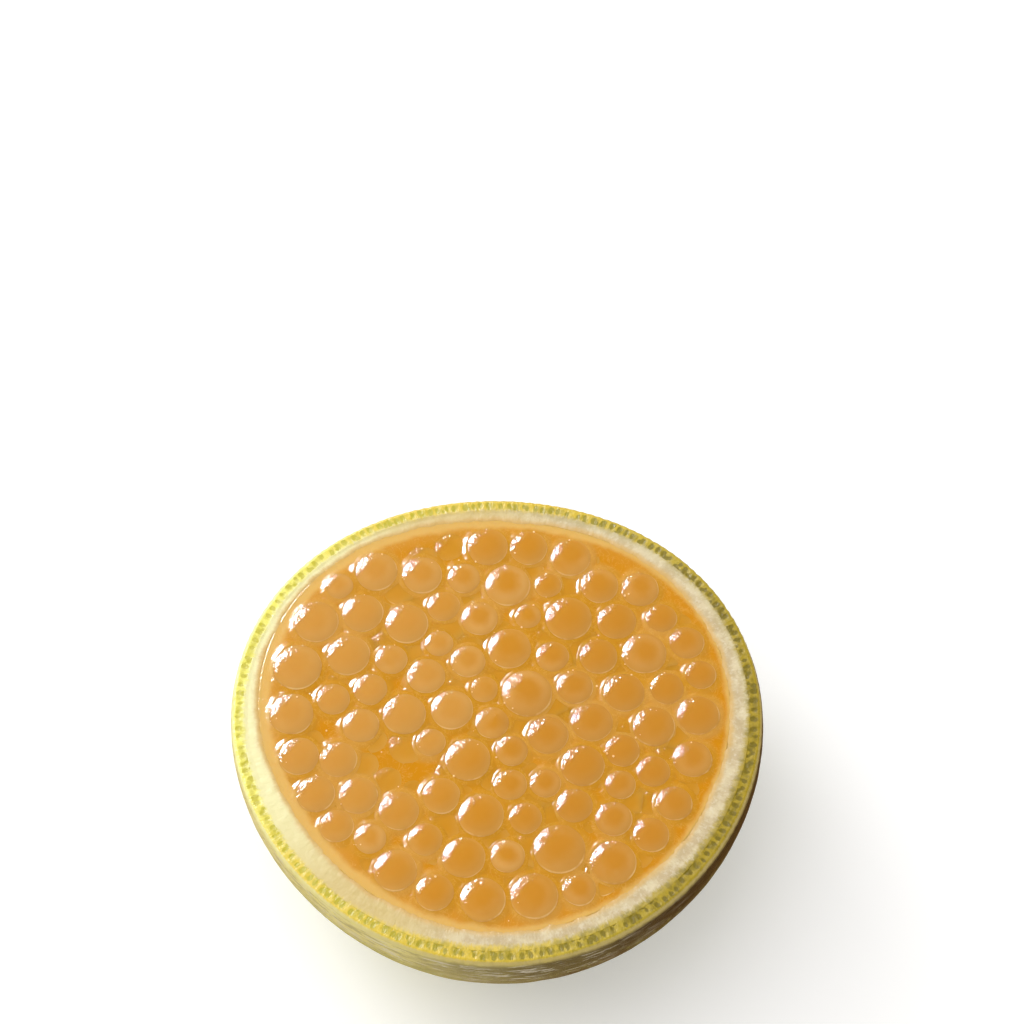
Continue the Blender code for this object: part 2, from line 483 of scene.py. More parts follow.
# %% [markdown]
# The cut shows the same colours on both sides of the seam between zest and pith, so one function paints
# them for both finishes: a pale line at the edge, yellow-green flesh crowded with dark olive glands
# that are drawn out along the radius, then cream. Light and shade are painted in as well: towards the
# window the colours are painted lighter and nearer lemon, away from it darker and nearer olive, and a
# second function says how far each direction lies towards the lit side.

# %% Colours of the cut
# Colours named LIT are painted light on the side towards the window; towards the other side the cut is
# painted darker and nearer olive, gold and green, as painted shade.
LIT_SIDE = math.radians(165)
GLAND_SPACING = 0.52 * MM
NEAR_SIDE = math.radians(-60)
BAND_LIT = colour("F2EC6C")
BAND_GOLD = colour("E2BE30")
BAND_OLIVE = colour("AE961C")
EDGE_LIT = colour("F6F2B4")
EDGE_OLIVE = colour("C2B070")
GLAND_LIT = colour("C2B826")
GLAND_OLIVE = colour("726600")
GLAND_SHADE_BROWN = colour("7A620A")
CREAM_LIT = colour("EFEAB0")
CREAM = colour("C4B086")
CREAM_GOLD = colour("D4BC6E")
CREAM_GREEN = colour("BDB277")
CREAM_PALE = colour("DBCDA6")
CREAM_WHITE = colour("E9E0C6")


def facing(bench, where, angle):
    """From 0 to 1: how far each point lies towards a direction from the middle of the fruit."""
    towards = (math.cos(angle), math.sin(angle), 0.0)
    return 0.5 + 0.5 * bench.vector("DOT_PRODUCT", bench.heading(where), towards, 1)


def painted_lit_share(bench, where):
    """From 0 on the side away from the window to 1 on the side towards it, for painted light and shade.
    """
    return facing(bench, where, LIT_SIDE)


def cut_colour(bench, where, inset):
    """The colour of the cut from its edge inwards, through zest and pith, with painted light and shade.
    """
    # Painted light and shade: the colours below follow how far each point lies towards the lit side.
    lit_share = painted_lit_share(bench, where)
    most_lit = bench.ramp(lit_share, 0.72, 0.97)
    cells = bench.node(
        "ShaderNodeTexVoronoi",
        {"voronoi_dimensions": "3D", "feature": "F1"},
        {"Vector": bench.around(where, inset, 0.7), "Scale": 1 / GLAND_SPACING, "Randomness": 1.0},
        "Distance",
    )
    blobs = bench.noise(bench.around(where, inset, 0.5), 0.42 * MM, 3.0, 0.6)
    grain = bench.noise(bench.around(where, inset, 0.6), 0.16 * MM, 3.0, 0.65)
    patch = bench.noise(where, 1.6 * MM, 3.0, 0.55)
    band = bench.tint(BAND_OLIVE, BAND_LIT, bench.ramp(lit_share, 0.0, 0.95))
    golden = 0.7 * bench.ramp(lit_share, 0.1, 0.5) * bench.ramp(lit_share, 0.98, 0.8)
    band = bench.tint(band, BAND_GOLD, golden)
    glands = bench.tint(GLAND_OLIVE, GLAND_LIT, bench.ramp(lit_share, 0.1, 0.9))
    cream = bench.tint(CREAM, CREAM_PALE, bench.ramp(0.35 * grain + patch, 0.55, 0.85))
    spots = bench.noise(where, 0.3 * MM, 2.0, 0.6)
    cream = bench.tint(cream, CREAM_WHITE, 0.35 * bench.ramp(0.4 * blobs + spots, 0.72, 0.9))
    cream = bench.tint(cream, CREAM_GOLD, 0.75 * bench.ramp(lit_share, 0.42, 0.66))
    cream = bench.tint(cream, CREAM_LIT, most_lit)
    green = bench.ramp(inset + 0.9 * patch, 2.1, 1.35) * bench.ramp(lit_share, 0.7, 0.4)
    cream = bench.tint(cream, CREAM_GREEN, 0.55 * green)
    near = bench.ramp(facing(bench, where, NEAR_SIDE), 0.6, 0.95)
    inner = inset - 0.45 * near
    crowd = bench.ramp(inset + 0.3 * grain, 0.35, 0.6) * bench.ramp(inner + 0.9 * patch, 1.6, 1.1)
    strays = bench.ramp(cells + 0.9 * grain - 0.3 * blobs, 0.95, 0.62) * crowd
    row = bench.ramp(bench.reading("gland") + 0.8 * blobs + 0.3 * grain, 0.8, 1.2)
    dark = 1 - (1 - row) * (1 - 0.6 * strays)
    # Painted shade: glands turn brown in grainy patches on the side away from the window.
    shade_browned = 0.5 * bench.ramp(grain, 0.5, 0.7) * bench.ramp(lit_share, 0.5, 0.2)
    glands = bench.tint(glands, GLAND_SHADE_BROWN, shade_browned)
    flesh = bench.tint(band, glands, 0.4 * near * bench.ramp(blobs + 0.4 * grain, 0.6, 0.9))
    body = bench.tint(flesh, cream, bench.ramp(inner + 0.7 * blobs + 0.4 * grain, 1.2, 1.7))
    body = bench.tint(body, glands, 0.85 * dark)
    edge = bench.tint(EDGE_OLIVE, EDGE_LIT, bench.ramp(lit_share, 0.3, 1.0))
    return bench.tint(body, edge, 0.8 * bench.ramp(inset + 0.2 * grain, 0.3, 0.14)), grain, blobs


print("lit side in degrees:", round(math.degrees(LIT_SIDE)))

# %% [markdown]
# Outside, the rind is painted pale yellow on the side towards the window, as painted light, and olive
# brown on the side away from it, as painted shade, and turns greener lower down. It has faint specks
# over the glands and fine streaks that run round the fruit near the cut, with painted light on their
# ridges as a streaky sheen and painted shade in their grooves. A corky scar marks the stem end. Masks
# made from the stored numbers part these places in one material.

# %% Zest finish
RIND_LIT = colour("EEE18C")
RIND_LOWER = colour("BDB850")
RIND_OLIVE = colour("887C48")
RIND_SHADE_BROWN = colour("443412")
RIND_GREEN = colour("7F7922")
PALE_SHEEN_AND_CORK = colour("DAD2BC")
RIND_GROOVE_SHADE = colour("928668")
RIND_BLUSH = colour("9A9C34")
SPECK = colour("C4BC74")
CORK = colour("8A6A3C")


def make_zest_finish():
    material, bench, shader = new_finish("zest", IOR=1.45, Coat_Roughness=0.22, Specular_IOR_Level=0.35)
    shader.inputs["Subsurface Weight"].default_value = 0.08
    shader.inputs["Subsurface Radius"].default_value = (0.9, 1.0, 0.3)
    shader.inputs["Subsurface Scale"].default_value = 0.2 * MM
    where = bench.place()
    inset = bench.reading("inset")
    outside = bench.reading("outside")
    depth = bench.reading("depth")
    pore = bench.reading("pore")
    lit_share = painted_lit_share(bench, where)
    clouds = bench.noise(where, 7 * MM, 3.0, 0.55)
    patches = bench.noise(where, 4.5 * MM, 4.0, 0.6)
    mottle = bench.noise(where, 0.8 * MM, 3.0, 0.6)
    streaks = bench.noise(bench.vector("MULTIPLY", where, (0.3, 0.3, 2.6)), 0.6 * MM, 4.0, 0.65)
    # Painted shade: olive brown on the side away from the window.
    dark = bench.tint(RIND_OLIVE, RIND_SHADE_BROWN, bench.ramp(lit_share + 0.4 * clouds, 0.65, 0.28))
    skin = bench.tint(dark, RIND_GREEN, bench.ramp(depth + 4.0 * clouds, 6.0, 11.0))
    # Painted light: pale yellow on the side towards the window.
    skin = bench.tint(skin, RIND_LIT, bench.ramp(lit_share + 0.3 * clouds, 0.45, 0.88))
    # Painted light: lower down, the lit side is a lighter yellow-green than the shaded side.
    lower = bench.ramp(depth + 3.0 * clouds, 3.0, 8.5) * bench.ramp(lit_share, 0.4, 0.8)
    skin = bench.tint(skin, RIND_LOWER, lower)
    # Painted light and shade: pale streaks of sheen on the ridges near the cut, on the lit side, and
    # grey shade in the grooves between them.
    streak_sheen = bench.ramp(streaks, 0.5, 0.66) * bench.ramp(depth, 7.0, 2.0)
    streak_sheen = 0.9 * streak_sheen * bench.ramp(lit_share, 0.0, 0.4) * bench.ramp(lit_share, 1.3, 0.6)
    groove_shade = bench.ramp(streaks, 0.5, 0.4) * bench.ramp(depth, 7.0, 1.5) * bench.ramp(lit_share, 0.3, 0.6)
    skin = bench.tint(skin, RIND_GROOVE_SHADE, 0.55 * groove_shade)
    skin = bench.tint(skin, PALE_SHEEN_AND_CORK, streak_sheen)
    blush = bench.ramp(patches + 0.2 * mottle, 0.48, 0.75) * bench.ramp(depth, 2.0, 5.0)
    skin = bench.tint(skin, RIND_BLUSH, 0.45 * blush)
    specks = bench.ramp(pore + 0.3 * mottle, 0.42, 0.2) * bench.ramp(depth, 1.5, 4.0)
    faint = 0.25 + 0.6 * bench.ramp(mottle, 0.35, 0.65)
    skin = bench.tint(skin, SPECK, faint * specks)
    cut, grain, blobs = cut_colour(bench, where, inset)
    turning = bench.tint(BAND_OLIVE, BAND_LIT, bench.ramp(lit_share, 0.0, 0.95))
    skin = bench.tint(turning, skin, bench.ramp(depth + 0.9 * mottle, 0.5, 1.1))
    body = bench.tint(cut, skin, outside)
    height = bench.node("ShaderNodeSeparateXYZ", None, {0: where}, "Z")
    reach = bench.vector("LENGTH", bench.vector("SUBTRACT", where, (*SKIN.centre, 0.0)), output=1)
    scar = bench.ramp(reach, 2.3 * MM, 1.9 * MM) * bench.ramp(height, 1.2 * MM, 0.8 * MM)
    # The cork is flecked with the same pale colour, here the cork's own colour.
    cork = bench.tint(CORK, PALE_SHEEN_AND_CORK, bench.ramp(bench.noise(where, 0.4 * MM, 4.0), 0.4, 0.75))
    bench.feed(shader.inputs["Base Color"], bench.tint(body, cork, scar))
    bench.feed(shader.inputs["Roughness"], 0.32 + 0.25 * mottle + 0.3 * scar)
    bench.feed(shader.inputs["Coat Weight"], 0.15 * outside * (1 - scar))
    bent = bench.bump(streaks * outside, 0.14 * MM)
    bent = bench.bump(blobs * (1 - outside), 0.1 * MM, bent)
    bench.feed(shader.inputs["Normal"], bench.bump(grain, 0.03 * MM, bent))
    return material


zest_finish = make_zest_finish()
print("zest finish nodes:", len(zest_finish.node_tree.nodes))

# %% [markdown]
# Thousands of pores dimple the skin, and no two fruits have them in the same places. Geometry Nodes
# strew points over the outside with a least distance between them, measure how far each point of the
# mesh is from its nearest pore, and press a dimple there. The distance is kept for the finish, which
# paints the pale specks in the same places.


# %% Pores by Geometry Nodes
def new_layout(name, sockets):
    """A Geometry Nodes tree with named inputs, its bench, and wires for its inputs."""
    tree = bpy.data.node_groups.new(name, "GeometryNodeTree")
    tree.interface.new_socket("Geometry", in_out="INPUT", socket_type="NodeSocketGeometry")
    tree.interface.new_socket("Geometry", in_out="OUTPUT", socket_type="NodeSocketGeometry")
    for label, kind in sockets:
        tree.interface.new_socket(label, in_out="INPUT", socket_type="NodeSocket" + kind)
    bench = Bench(tree)
    entry = tree.nodes.new("NodeGroupInput")
    wires = {socket.name: Wire(bench, socket) for socket in entry.outputs if socket.name}
    return tree, bench, wires


def close_layout(bench, geometry, material):
    """Realise what the tree made, shade it smooth, give it its material and send it out."""
    real = bench.node("GeometryNodeRealizeInstances", None, {"Geometry": geometry})
    smooth = bench.node("GeometryNodeSetShadeSmooth", None, {"Geometry": real})
    done = bench.node("GeometryNodeSetMaterial", None, {"Geometry": smooth, "Material": material})
    exit_node = bench.tree.nodes.new("NodeGroupOutput")
    bench.tree.links.new(done.socket, exit_node.inputs["Geometry"])


def run_layout(name, mesh, tree, values):
    """Run a tree on a mesh with these input values, and return the result as a plain mesh."""
    carrier = bpy.data.objects.new(name, mesh)
    bpy.context.scene.collection.objects.link(carrier)
    layout = carrier.modifiers.new("layout", "NODES")
    layout.node_group = tree
    for item in tree.interface.items_tree:
        if item.name in values and item.in_out == "INPUT":
            layout[item.identifier] = values[item.name]
    shown = carrier.evaluated_get(bpy.context.evaluated_depsgraph_get())
    made = bpy.data.meshes.new_from_object(shown)
    bpy.data.objects.remove(carrier)
    made.name = name
    return made


PORE_SEED = 3


def build_pore_layout():
    sockets = (
        ("Pore Spacing", "Float"),
        ("Pores Per Square Metre", "Float"),
        ("Pore Width", "Float"),
        ("Pore Depth", "Float"),
        ("Wave Size", "Float"),
        ("Wave Height", "Float"),
        ("Seed", "Int"),
        ("Material", "Material"),
    )
    tree, bench, given = new_layout("skin_pores", sockets)
    pores = bench.node(
        "GeometryNodeDistributePointsOnFaces",
        {"distribute_method": "POISSON"},
        {
            "Mesh": given["Geometry"],
            "Selection": bench.stored("outside"),
            "Distance Min": given["Pore Spacing"],
            "Density Max": given["Pores Per Square Metre"],
            "Seed": given["Seed"],
        },
    )
    settings = {"target_element": "POINTS"}
    away = bench.node("GeometryNodeProximity", settings, {"Geometry": pores}, "Distance")
    kept = bench.store(given["Geometry"], "pore", away * (1 / MM))
    here = bench.node("GeometryNodeInputPosition")
    swell = bench.noise(bench.scaled(here, 1 / given["Wave Size"]), 1.0)
    dimple = bench.ramp(away, given["Pore Width"], 0.0)
    sink = (given["Pore Depth"] * dimple + given["Wave Height"] * swell) * bench.stored("relief")
    inwards = bench.scaled(bench.node("GeometryNodeInputNormal"), -1.0 * sink)
    moved = bench.node("GeometryNodeSetPosition", None, {"Geometry": kept, "Offset": inwards})
    close_layout(bench, moved, given["Material"])
    return tree


# %% Show the zest
zest_skin = place_piece(
    run_layout(
        "zest_skin",
        zest_mesh,
        build_pore_layout(),
        {
            "Pore Spacing": 0.85 * MM,
            "Pores Per Square Metre": 1.8 / MM**2,
            "Pore Width": 0.34 * MM,
            "Pore Depth": 0.08 * MM,
            "Wave Size": 2.4 * MM,
            "Wave Height": 0.1 * MM,
            "Seed": PORE_SEED,
            "Material": zest_finish,
        },
    ),
    "zest",
)

# %% [markdown]
# The pith is a spongy, fibrous ring, a little thicker on the near side. Its cut is not quite flat, and
# it slopes down where it meets the wet pulp. The inner edge wavers, because the pearls press into it.

# %% Pith mesh
PITH_SIDES = 540
PITH_RINGS = 26
PITH_RELIEF = 0.05 * MM
PITH_LIP = 0.09 * MM
PITH_WAVER = 0.16 * MM
PITH_TUCK = 0.08 * MM
PITH_STEP_DOWN = 0.002 * MM
PITH_LIP_WIDTH = 0.6 * MM
PITH_LIP_DROP = 0.4 * MM


def pith_edge(angles):
    """Where the pith ends and the pulp begins, in each direction from the pulp's centre."""
    round_points = np.stack([np.cos(angles), np.sin(angles), np.zeros(len(angles))], axis=1)
    waver = ripple(round_points, 0.24, 1) + 0.6 * ripple(round_points, 0.09, 2)
    return edge_radius(PULP_OUTLINE, angles) + PITH_WAVER * waver


def make_pith_mesh():
    angles = directions(PITH_SIDES)
    outside = shrunk(SKIN, ZEST_THICKNESS - PITH_TUCK)
    hidden_outside = bowl_wall(outside, PITH_SIDES, np.linspace(1, 0.04, HIDDEN_RINGS))
    rim = level_ring(SKIN.centre, angles, edge_radius(outside, angles), CUT_HEIGHT - PITH_STEP_DOWN)
    inner = level_ring(PULP_CENTRE, angles, pith_edge(angles), CUT_HEIGHT)
    across = [rim * (1 - share) + inner * share for share in np.linspace(0, 1, PITH_RINGS)]
    lip = across[-1].copy()
    lip[:, 2] -= PITH_LIP_DROP
    inside = shrunk(PULP_OUTLINE, 0.15 * MM)
    hidden_inside = bowl_wall(inside, PITH_SIDES, np.linspace(0.08, 1, HIDDEN_RINGS))
    mesh = closed_mesh("pith_ring", hidden_outside + across + [lip] + hidden_inside)
    points = points_of(mesh)
    start = 1 + PITH_SIDES * HIDDEN_RINGS
    shown = slice(start, start + PITH_SIDES * PITH_RINGS)
    share = np.repeat(np.linspace(0, 1, PITH_RINGS), PITH_SIDES)
    face = points[shown]
    width = np.hypot(*(rim - inner)[:, :2].T)
    shore = np.tile(width, PITH_RINGS) * (1 - share)
    relief = 0.6 * ripple(face, 1.1 * MM, 3) + 0.4 * ripple(face, 0.4 * MM, 4)
    face[:, 2] += PITH_RELIEF * (relief - 0.9) * np.clip((share - 0.05) * 5, 0.01, 1)
    face[:, 2] -= PITH_LIP * np.clip(1 - shore / PITH_LIP_WIDTH, 0, 1) ** 2
    points[shown] = face
    mesh.vertices.foreach_set("co", points.astype(np.float32).ravel())
    shores = np.zeros(len(points))
    shores[shown] = shore / MM
    keep_values(mesh, "shore", shores)
    keep_values(mesh, "inset", inset_of(SKIN, points) / MM)
    return mesh


# %% [markdown]
# The pith takes the colours of the cut too, with their painted light and shade, and adds its own: fine
# fibres along the radius, a damp shine in places, and juice that has soaked in along the inner edge and
# turned the cream warm.

# %% Pith finish
PITH_JUICE = colour("D6AE62")
PITH_WARM = colour("D6B878")


def make_pith_finish():
    material, bench, shader = new_finish("pith", IOR=1.4, Coat_Roughness=0.12)
    shader.inputs["Subsurface Weight"].default_value = 0.08
    shader.inputs["Subsurface Radius"].default_value = (1.0, 0.9, 0.6)
    shader.inputs["Subsurface Scale"].default_value = 0.2 * MM
    where = bench.place()
    inset = bench.reading("inset")
    shore = bench.reading("shore")
    body, grain, blobs = cut_colour(bench, where, inset)
    patch = bench.noise(where, 1.1 * MM, 3.0, 0.55)
    soaked = bench.ramp(shore - 0.8 * patch + 0.4 * grain, 0.75, -0.15)
    body = bench.tint(body, PITH_WARM, soaked)
    juicy = 0.8 * bench.ramp(shore - 0.4 * patch, 0.5, 0.0)
    bench.feed(shader.inputs["Base Color"], bench.tint(body, PITH_JUICE, juicy))
    bench.feed(shader.inputs["Roughness"], 0.5 + 0.3 * grain - 0.35 * soaked)
    bench.feed(shader.inputs["Coat Weight"], 0.35 * bench.ramp(patch, 0.45, 0.65))
    bent = bench.bump(blobs, 0.06 * MM)
    bench.feed(shader.inputs["Normal"], bench.bump(grain, 0.015 * MM, bent))
    return material


pith_mesh = make_pith_mesh()
pith_mesh.materials.append(make_pith_finish())
pith_ring = place_piece(pith_mesh, "pith")

# %% [markdown]
# Juice pearls are strewn along a spiral, then pushed apart until they share the face. It is the same
# rule, with the same seed, that placed the low domes on the pulp's solid, so the fine pearls land
# on them. Two open pools of gel are kept free of pearls.

# %% Places of the pearls
PEARL_SEED = 10
PEARL_COUNT = 82
PEARL_RADIUS = 1.58 * MM
PEARL_RIM_GAIN = 0.18 * MM
PEARL_SPREAD = 0.22 * MM
PEARL_SMALL = 1.2 * MM
PEARL_LARGE = 2.15 * MM
PEARL_HEIGHT = 0.5
PEARL_SUNK = 0.14
PEARL_SPACING = 1.02
PEARL_MARGIN = 0.2 * MM
SPIRAL_STEP = math.radians(137.508)
SPIRAL_JITTER = 0.7 * MM
PUSH_ROUNDS = 90
GEL_POOLS = (
    (-9.6 * MM, -2.8 * MM, 1.2 * MM),
    (-7.0 * MM, -3.6 * MM, 1.6 * MM),
    (-3.1 * MM, 15.6 * MM, 1.5 * MM),
)


def hold_inside(pearl):
    """Move a pearl out of the gel pools and back within the pulp's edge."""
    for x, y, radius in GEL_POOLS:
        away = math.hypot(pearl[0] - x, pearl[1] - y)
        short = radius + pearl[2] - away
        if short > 0:
            pearl[0] += (pearl[0] - x) / away * short
            pearl[1] += (pearl[1] - y) / away * short
    x = pearl[0] - PULP_CENTRE[0]
    y = pearl[1] - PULP_CENTRE[1]
    reach = math.hypot(x, y)
    limit = edge_radius(PULP_OUTLINE, math.atan2(y, x)) - LAYER_GAP / 2 - PEARL_MARGIN - pearl[2]
    if reach > limit:
        pearl[0] = PULP_CENTRE[0] + x * limit / reach
        pearl[1] = PULP_CENTRE[1] + y * limit / reach


def lay_out_pearls():
    """Place and radius of each pearl: strewn along a spiral, then pushed apart until they fit."""
    draw = random.Random(PEARL_SEED)
    pearls = []
    for i in range(PEARL_COUNT):
        share = math.sqrt((i + 0.5) / PEARL_COUNT)
        reach = PULP_RADIUS * share
        turn = i * SPIRAL_STEP
        x = PULP_CENTRE[0] + reach * math.cos(turn) + draw.gauss(0, SPIRAL_JITTER)
        y = PULP_CENTRE[1] + reach * math.sin(turn) + draw.gauss(0, SPIRAL_JITTER)
        radius = draw.gauss(PEARL_RADIUS + PEARL_RIM_GAIN * share, PEARL_SPREAD)
        pearls.append([x, y, min(max(radius, PEARL_SMALL), PEARL_LARGE)])
    for _ in range(PUSH_ROUNDS):
        for a, b in combinations(pearls, 2):
            apart = math.hypot(b[0] - a[0], b[1] - a[1])
            short = (a[2] + b[2]) * PEARL_SPACING - apart
            if short > 0:
                step_x = (b[0] - a[0]) / apart * short / 2
                step_y = (b[1] - a[1]) / apart * short / 2
                a[0] -= step_x
                a[1] -= step_y
                b[0] += step_x
                b[1] += step_y
        for pearl in pearls:
            hold_inside(pearl)
    return pearls


pearls = lay_out_pearls()
mean_width = 2 * sum(radius for _, _, radius in pearls) / len(pearls)
print("pearls:", len(pearls), "mean width in mm:", round(mean_width / MM, 2))

# %% [markdown]
# Between the pearls lies a wet gel. It climbs a little up each pearl, as a liquid does, and that fillet
# is what catches the light as a thin bright line along a pearl's edge. A dense disc whose height is
# worked out point by point holds it all: long swells, small swells and the climb at each pearl.

# %% Gel mesh
GEL_SIDES = 640
GEL_RINGS = 136
GEL_LEVEL = 0.05 * MM
GEL_SWELL = 0.09 * MM
GEL_CLIMB = 0.14 * MM
GEL_CLIMB_WIDTH = 0.25 * MM
GEL_OVERLAP = 0.35 * MM
GEL_EDGE_DROP = 0.025 * MM
GEL_RIM_WIDTH = 0.9 * MM
PEARL_SHORE = 0.96
FAR_FROM_PEARLS = 9 * MM


def gel_height(points, shore, rim):
    """Height of the gel over the cut at each point, from its distance to a pearl and to the pith."""
    swell = ripple(points, 2.6 * MM, 6) + 0.35 * ripple(points, 0.9 * MM, 7)
    climb = np.exp(-((np.clip(shore, 0, None) / GEL_CLIMB_WIDTH) ** 2))
    edge = np.clip(rim / GEL_RIM_WIDTH, 0, 1)
    return (GEL_SWELL * swell + GEL_CLIMB * climb) * edge - GEL_LEVEL - GEL_EDGE_DROP * (1 - edge)


def make_gel_mesh():
    angles = directions(GEL_SIDES)
    edge = edge_radius(PULP_OUTLINE, angles) + GEL_OVERLAP
    shares = np.linspace(0.004, 1, GEL_RINGS)
    top = [level_ring(PULP_CENTRE, angles, edge * share, CUT_HEIGHT) for share in shares]
    below = bowl_wall(shrunk(PULP_OUTLINE, LAYER_GAP), GEL_SIDES, np.linspace(0.12, 1, HIDDEN_RINGS))
    mesh = closed_mesh("pulp_gel", top + below)
    points = points_of(mesh)
    count = 1 + GEL_SIDES * GEL_RINGS
    flat = points[:count]
    shore = np.full(count, FAR_FROM_PEARLS)
    for x, y, radius in pearls:
        shore = np.minimum(shore, np.hypot(flat[:, 0] - x, flat[:, 1] - y) - radius * PEARL_SHORE)
    rim = inset_of(PULP_OUTLINE, flat)
    flat[:, 2] = CUT_HEIGHT + gel_height(flat, shore, rim)
    points[:count] = flat
    mesh.vertices.foreach_set("co", points.astype(np.float32).ravel())
    shores = np.full(len(points), 1.0)
    rims = np.zeros(len(points))
    shores[:count] = shore / MM
    rims[:count] = rim / MM
    keep_values(mesh, "shore", shores)
    keep_values(mesh, "rim", rims)
    return mesh


# %% [markdown]
# The gel is clear amber, deepest in the open pools and paler near the pith; near the pith on the side
# towards the window it is painted paler still, as painted light. Wisps of torn membrane run through it.
# Light that enters such a gel comes out again nearby, so the finish scatters it under the surface, and
# it also gives the gel a faint glow of its own colour, a painted glow.

# %% Gel finish
# Strength of a painted glow that the gel and the pearls give off in their own colours.
GLOW = 0.2
AMBER = colour("C18720")
AMBER_DEEP = colour("C4820A")
AMBER_PALE = colour("C6903E")
MEMBRANE = colour("D8A652")


def make_gel_finish():
    material, bench, shader = new_finish("gel", IOR=1.4, Emission_Strength=GLOW)
    shader.inputs["Subsurface Weight"].default_value = 0.35
    shader.inputs["Subsurface Radius"].default_value = (1.0, 0.7, 0.3)
    shader.inputs["Subsurface Scale"].default_value = 1.2 * MM
    where = bench.place()
    shore = bench.reading("shore")
    rim = bench.reading("rim")
    clouds = bench.noise(where, 6 * MM, 3.0, 0.5)
    haze = bench.noise(where, 1.5 * MM, 3.0, 0.5)
    wisps = bench.noise(where, 1.0 * MM, 3.0, 0.6, 1.6)
    body = bench.tint(AMBER, AMBER_PALE, bench.ramp(clouds, 0.42, 0.66))
    body = bench.tint(body, AMBER_DEEP, bench.ramp(shore + 0.5 * haze, 0.35, 1.0))
    lit_share = painted_lit_share(bench, where)
    # Painted light: paler amber near the pith on the side towards the window.
    body = bench.tint(body, AMBER_PALE, bench.ramp(rim + haze, 2.4, 0.6) * lit_share)
    body = bench.tint(body, PITH_JUICE, 0.85 * bench.ramp(rim + 0.7 * haze - 0.6 * lit_share, 0.6, 0.05))
    thread = bench.ramp(wisps, 0.47, 0.5) * bench.ramp(wisps, 0.53, 0.5)
    body = bench.tint(body, MEMBRANE, 0.35 * thread)
    bench.feed(shader.inputs["Base Color"], body)
    # Painted glow: the gel emits a little light in its own colour.
    bench.feed(shader.inputs["Emission Color"], body)
    bench.feed(shader.inputs["Roughness"], 0.1 + 0.14 * haze)
    fine = bench.noise(where, 0.5 * MM, 3.0, 0.6, 0.6)
    bench.feed(shader.inputs["Normal"], bench.bump(fine, 0.045 * MM))
    return material


gel_mesh = make_gel_mesh()
gel_mesh.materials.append(make_gel_finish())
pulp_gel = place_piece(gel_mesh, "pulp")

# %% [markdown]
# A pearl is a taut clear skin full of juice. It hardly shades from side to side, because light wanders
# about inside it. Three things draw it instead: broken glints from the window, a soft pale band painted
# along its edge, and a thin bright line painted on the side away from the window, where the light
# gathers.
# Band and line are painted light, that side is also painted with a paler glow, and the whole pearl glows
# a little in its own colour. Across the fruit, pearls are painted paler on the side towards the window
# and darker on the side away from it.
# The finish turns the surface half way towards straight up, which evens out the shading and spreads
# the glints, and fine ripples break them into beads.

# %% Pearl finish
WINDOW_SIDE = Vector((-0.66, 0.75, 0.0)).normalized()
PEARL_BODY = colour("C28834")
PEARL_CORE = colour("C0842A")
PEARL_MILKY_AND_LIT = colour("C8944C")
PEARL_PALE = colour("D2A05A")
PEARL_BAND = colour("CC9444")
PEARL_SHADE = colour("B87E2E")
PEARL_LINE = colour("E8C07C")
PEARL_FLATTEN = 0.55


